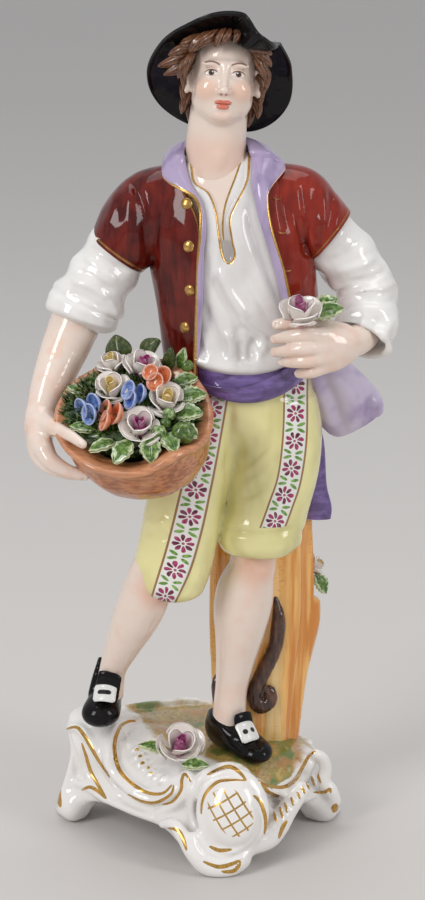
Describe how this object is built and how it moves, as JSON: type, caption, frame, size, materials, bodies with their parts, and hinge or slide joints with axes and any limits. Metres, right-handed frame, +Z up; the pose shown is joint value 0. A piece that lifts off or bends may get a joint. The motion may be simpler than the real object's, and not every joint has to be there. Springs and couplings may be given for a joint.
{
  "type": "flower seller figurine",
  "caption": "Glazed, painted porcelain figurine of a boy in hat, waistcoat and knee breeches, holding a rose and a basket of flowers, on a scrolled footed base.",
  "frame": {"origin": "middle of the figurine seen from above, on the plane its feet stand on", "axes": "+Z up; the boy faces -Y; +X to the right of someone facing him"},
  "size_m": [0.1108, 0.0966, 0.2539],
  "materials": {
    "white_glaze": "white glossy porcelain glaze with gold lines",
    "painted_glaze": "painted porcelain under glossy clear glaze",
    "basket_glaze": "terracotta brown brushed paint, glossy",
    "foliage_glaze": "mixed green glossy glaze",
    "rose_glaze": "white glossy glaze with tinted hearts",
    "orange_glaze": "orange glossy glaze",
    "blue_glaze": "blue glossy glaze"
  },
  "bodies": {
    "root": {"base": "white_glaze", "figure": "painted_glaze", "basket": "basket_glaze", "basket_foliage": "foliage_glaze", "rose_1": "rose_glaze", "rose_2": "rose_glaze", "rose_3": "rose_glaze", "rose_4": "rose_glaze", "rose_5": "rose_glaze", "hand_rose": "rose_glaze", "base_rose": "rose_glaze", "trunk_rose": "rose_glaze", "orange_flower_1": "orange_glaze", "orange_flower_2": "orange_glaze", "blue_flower_1": "blue_glaze", "blue_flower_2": "blue_glaze", "hand_leaf_1": "foliage_glaze", "hand_leaf_2": "foliage_glaze", "base_leaf_1": "foliage_glaze", "base_leaf_2": "foliage_glaze", "trunk_leaf": "foliage_glaze"}
  },
  "joints": []
}
